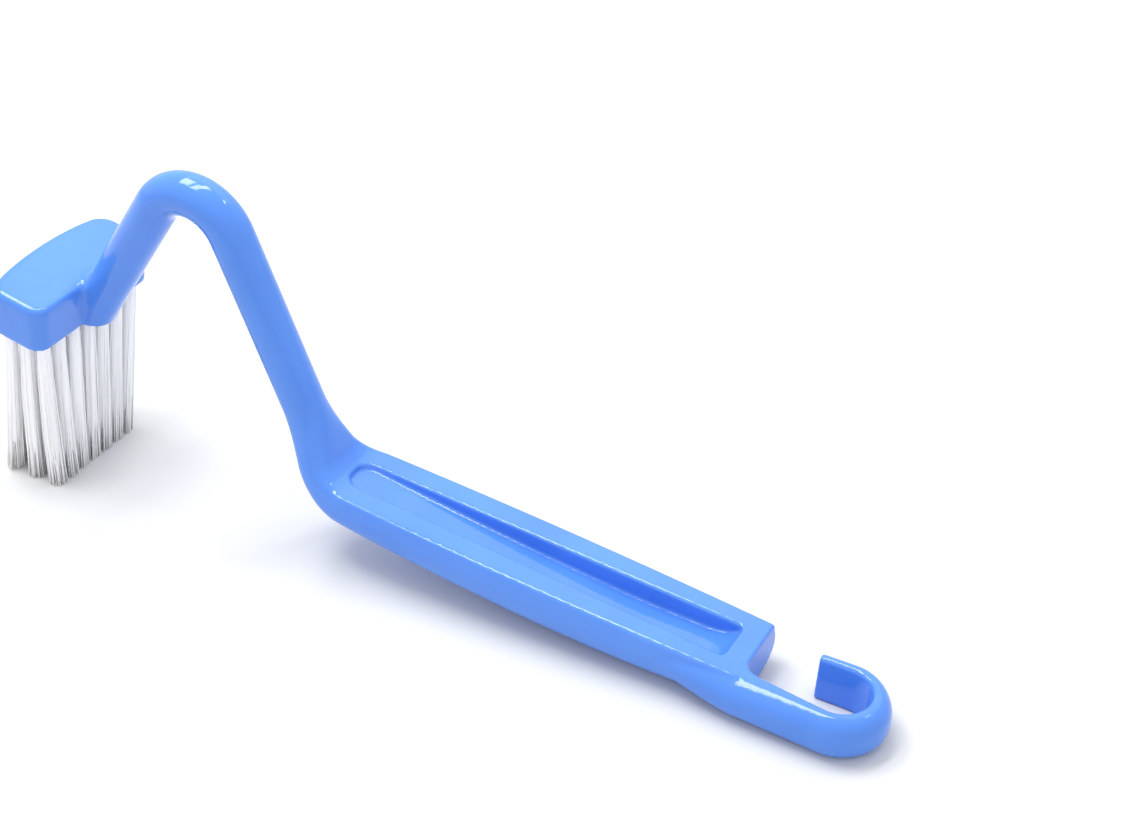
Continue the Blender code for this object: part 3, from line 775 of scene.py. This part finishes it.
print("filament helpers ready")

# %% Build the tufts
thinnest, thickest = 0.9, 1.1
tufts = {}
for row, column, x, y in hole_places():
    chance = random.Random(100 * row + column)
    shape = bmesh.new()
    add_rings(shape, packed_middle(row, column, x, y))
    for k in range(filaments_per_tuft):
        add_filament(shape, filament_line(k, row, column, x, y, chance),
                     filament_radius * chance.uniform(thinnest, thickest))
    mesh = mesh_of(f"bristles_r{row}_c{column}", shape)
    mesh.transform(head_place)
    tufts[f"tuft_r{row}_c{column}"] = helper(f"bristles_r{row}_c{column}", mesh)
print("tufts", len(tufts), "filaments", len(tufts) * filaments_per_tuft)

# %% [markdown]
# All the finishes share one effect: a soft cloudiness that changes slowly over the surface. It is
# a node group with its own sockets, so each material sets its own fineness, its stretch along the
# upright axis and the range of the mask. The group gives out a mask only, and the shader stays in
# the material.

# %% Node group for soft cloudiness
def cloud_group():
    group = bpy.data.node_groups.new("soft cloud", "ShaderNodeTree")
    for name, default in (("Fineness", 60.0), ("Stretch", 1.0), ("Low", 0.0), ("High", 1.0)):
        socket = group.interface.new_socket(name, in_out="INPUT", socket_type="NodeSocketFloat")
        socket.default_value = default
    group.interface.new_socket("Mask", in_out="OUTPUT", socket_type="NodeSocketFloat")
    nodes, links = group.nodes, group.links
    inside, outside = nodes.new("NodeGroupInput"), nodes.new("NodeGroupOutput")
    place = nodes.new("ShaderNodeTexCoord")
    stretch = nodes.new("ShaderNodeCombineXYZ")
    scaled = nodes.new("ShaderNodeVectorMath")
    scaled.operation = "MULTIPLY"
    noise = nodes.new("ShaderNodeTexNoise")
    noise.inputs["Detail"].default_value = 3.0
    spread = nodes.new("ShaderNodeMapRange")
    spread.inputs["From Min"].default_value = 0.3
    spread.inputs["From Max"].default_value = 0.7
    for axis in "XY":
        stretch.inputs[axis].default_value = 1.0
    links.new(inside.outputs["Stretch"], stretch.inputs["Z"])
    links.new(place.outputs["Object"], scaled.inputs[0])
    links.new(stretch.outputs["Vector"], scaled.inputs[1])
    links.new(scaled.outputs["Vector"], noise.inputs["Vector"])
    links.new(inside.outputs["Fineness"], noise.inputs["Scale"])
    links.new(noise.outputs["Fac"], spread.inputs["Value"])
    links.new(inside.outputs["Low"], spread.inputs["To Min"])
    links.new(inside.outputs["High"], spread.inputs["To Max"])
    links.new(spread.outputs["Result"], outside.inputs["Mask"])
    return group


soft_cloud = cloud_group()
print("node group", soft_cloud.name, [s.name for s in soft_cloud.interface.items_tree])

# %% [markdown]
# Each finish is one Principled shader whose colour and roughness vary a little, because no real
# surface is even. Three helpers keep the finishes short to read.

# %% Helpers for materials
def new_material(name, viewport_colour):
    material = bpy.data.materials.new(name)
    material.use_nodes = True
    material.diffuse_color = (*viewport_colour, 1.0)
    tree = material.node_tree
    return material, tree.nodes, tree.links, tree.nodes["Principled BSDF"]


def cloud(nodes, fineness, stretch=1.0, low=0.0, high=1.0):
    node = nodes.new("ShaderNodeGroup")
    node.node_tree = soft_cloud
    for name, value in (("Fineness", fineness), ("Stretch", stretch), ("Low", low),
                        ("High", high)):
        node.inputs[name].default_value = value
    return node.outputs["Mask"]


def two_colours(nodes, links, mask, first, second):
    mix = nodes.new("ShaderNodeMix")
    mix.data_type = "RGBA"
    mix.inputs["A"].default_value = (*first, 1.0)
    mix.inputs["B"].default_value = (*second, 1.0)
    links.new(mask, mix.inputs["Factor"])
    return mix.outputs["Result"]


print("material helpers ready")

# %% [markdown]
# The handle is glossy blue plastic. A moulded part has slightly cloudy colour where the melt
# flowed, a gloss that changes a little, and a very faint waviness that bends reflections. Light
# also enters this plastic a short way, which keeps its shaded side a clear blue.

# %% Blue plastic
blue, nodes, links, shader = new_material("glossy blue plastic", (0.08, 0.27, 0.87))
colour = two_colours(nodes, links, cloud(nodes, 35.0), (0.075, 0.235, 0.76), (0.090, 0.268, 0.81))
links.new(colour, shader.inputs["Base Color"])
links.new(cloud(nodes, 90.0, low=0.07, high=0.11), shader.inputs["Roughness"])
waves = nodes.new("ShaderNodeBump")
waves.inputs["Strength"].default_value = 0.06
waves.inputs["Distance"].default_value = 0.4 * MM
links.new(cloud(nodes, 260.0), waves.inputs["Height"])
links.new(waves.outputs["Normal"], shader.inputs["Normal"])
shader.inputs["Subsurface Weight"].default_value = 0.05
shader.inputs["Subsurface Radius"].default_value = (0.3, 0.6, 1.0)
shader.inputs["Subsurface Scale"].default_value = 3 * MM
shader.inputs["IOR"].default_value = 1.5
print("made", blue.name)

# %% [markdown]
# The filaments are white nylon. The real ones let some light through, which brightens a bundle.
# Thin tubes that pass light on rendered darker here, so a soft sheen at glancing angles stands in
# for it. Fine streaks along the filaments vary the white, so that the bundle doesn't read as one
# solid block.

# %% White nylon
nylon, nodes, links, shader = new_material("white nylon", (0.9, 0.91, 0.9))
streaks = cloud(nodes, 1400.0, stretch=0.02)
colour = two_colours(nodes, links, streaks, (0.96, 0.96, 0.98), (0.99, 0.99, 0.99))
links.new(colour, shader.inputs["Base Color"])
links.new(cloud(nodes, 400.0, low=0.3, high=0.45), shader.inputs["Roughness"])
shader.inputs["Sheen Weight"].default_value = 0.5
shader.inputs["Sheen Roughness"].default_value = 0.4
print("made", nylon.name)

# %% [markdown]
# The anchors are bits of drawn flat wire. Drawing leaves fine scratches along the wire, so the
# gloss is streaked.

# %% Anchor steel
steel, nodes, links, shader = new_material("drawn steel wire", (0.62, 0.63, 0.65))
colour = two_colours(nodes, links, cloud(nodes, 900.0), (0.55, 0.56, 0.58), (0.66, 0.67, 0.69))
links.new(colour, shader.inputs["Base Color"])
links.new(cloud(nodes, 1500.0, stretch=6.0, low=0.25, high=0.45), shader.inputs["Roughness"])
shader.inputs["Metallic"].default_value = 1.0
print("made", steel.name)

# %% [markdown]
# Each dressed piece now gets its finish and rides on the root body, and the node of the frame
# that it replaces is hidden. The anchors keep the frame's own shape, because they are hidden in
# the head, and only get their finish.

# %% Give each piece its finish and its body, and hide the node it replaces
moulding.data.materials.clear()
moulding.data.materials.append(blue)
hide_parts("handle_moulding")
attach(moulding, "root")
for node, tuft in tufts.items():
    tuft.data.materials.append(nylon)
    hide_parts(node)
    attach(tuft, "root")
for name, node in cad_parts.items():
    if name.startswith("anchor"):
        for material_slot in node.material_slots:
            material_slot.material = steel
print("pieces dressed", 1 + len(tufts))

# %% [markdown]
# The brush stands on a seamless white floor, a plain pale slab that takes its shadow. Its colour
# is about 0.7, so that the light on it comes out as white where nothing shades it, without going
# so far above white that the shadow's soft edge is lost.

# %% Floor
floor_half, floor_thickness = 4, 0.01
floor_outline = [(-floor_half, -floor_half), (floor_half, -floor_half), (floor_half, floor_half),
                 (-floor_half, floor_half)]
floor = helper("floor", slab("floor", floor_outline, -floor_thickness, 0.0))
floor_paper, nodes, links, shader = new_material("white paper floor", (0.71, 0.71, 0.71))
colour = two_colours(nodes, links, cloud(nodes, 4.0), (0.70, 0.70, 0.70), (0.72, 0.72, 0.72))
links.new(colour, shader.inputs["Base Color"])
shader.inputs["Roughness"].default_value = 0.6
shader.inputs["Specular IOR Level"].default_value = 0.1
floor.data.materials.append(floor_paper)
print("made", floor.name)

# %% [markdown]
# Round the brush is a plain white studio. As light, it is a little under white and slightly
# cool, which tints the shadows. The camera and the reflections see it as pure white, and Light
# Path tells the two apart, so the background and the gloss are white without more light falling
# on the brush.

# %% White studio
world = bpy.data.worlds.new("white studio")
bpy.context.scene.world = world
world.use_nodes = True
nodes, links = world.node_tree.nodes, world.node_tree.links
plain = nodes["Background"]
plain.inputs["Color"].default_value = (0.97, 0.98, 1.0, 1.0)
plain.inputs["Strength"].default_value = 0.94
seen = nodes.new("ShaderNodeBackground")
seen.inputs["Color"].default_value = (1.0, 1.0, 1.0, 1.0)
seen.inputs["Strength"].default_value = 1.0
choice = nodes.new("ShaderNodeMixShader")
path = nodes.new("ShaderNodeLightPath")
sums = [nodes.new("ShaderNodeMath") for _ in range(2)]
for math_node in sums:
    math_node.operation = "MAXIMUM"
links.new(path.outputs["Is Camera Ray"], sums[0].inputs[0])
links.new(path.outputs["Is Glossy Ray"], sums[0].inputs[1])
links.new(sums[0].outputs["Value"], sums[1].inputs[0])
links.new(path.outputs["Is Transmission Ray"], sums[1].inputs[1])
links.new(sums[1].outputs["Value"], choice.inputs["Fac"])
links.new(plain.outputs["Background"], choice.inputs[1])
links.new(seen.outputs["Background"], choice.inputs[2])
links.new(choice.outputs["Shader"], nodes["World Output"].inputs["Surface"])
print("made", world.name)

# %% [markdown]
# Four soft panels light the brush. A softbox from the left and a long strip overhead draw the
# bright lines along the rims and give the soft shadow. A wide weak panel at the back fills the
# far side, and a small one at the back right sets a glint on the bends. Area lights were chosen
# over a sun, because only a panel of some size gives edges of shadow and gloss this soft.

# %% Lights
def soft_light(name, place, target, width, height, power):
    data = bpy.data.lights.new(name, "AREA")
    data.shape = "RECTANGLE"
    data.size, data.size_y = width, height
    data.energy = power
    light = bpy.data.objects.new(name, data)
    light.location = place
    light.rotation_euler = (Vector(target) - Vector(place)).to_track_quat("-Z", "Y").to_euler()
    bpy.context.scene.collection.objects.link(light)


soft_light("softbox", (-0.50, 0.08, 0.92), (-0.1, 0.03, 0.0), 0.50, 0.24, 3.8)
soft_light("strip", (-0.20, 0.10, 1.0), (-0.05, 0.05, 0.0), 0.80, 0.15, 4.4)
soft_light("back", (-0.15, 0.75, 0.85), (0.0, 0.0, 0.03), 1.1, 0.5, 1.2)
soft_light("glint", (0.38, 0.48, 0.95), (0.0, 0.0, 0.03), 0.16, 0.08, 0.6)
bpy.context.scene.view_settings.view_transform = "Standard"
print("lights", len(bpy.data.lights))
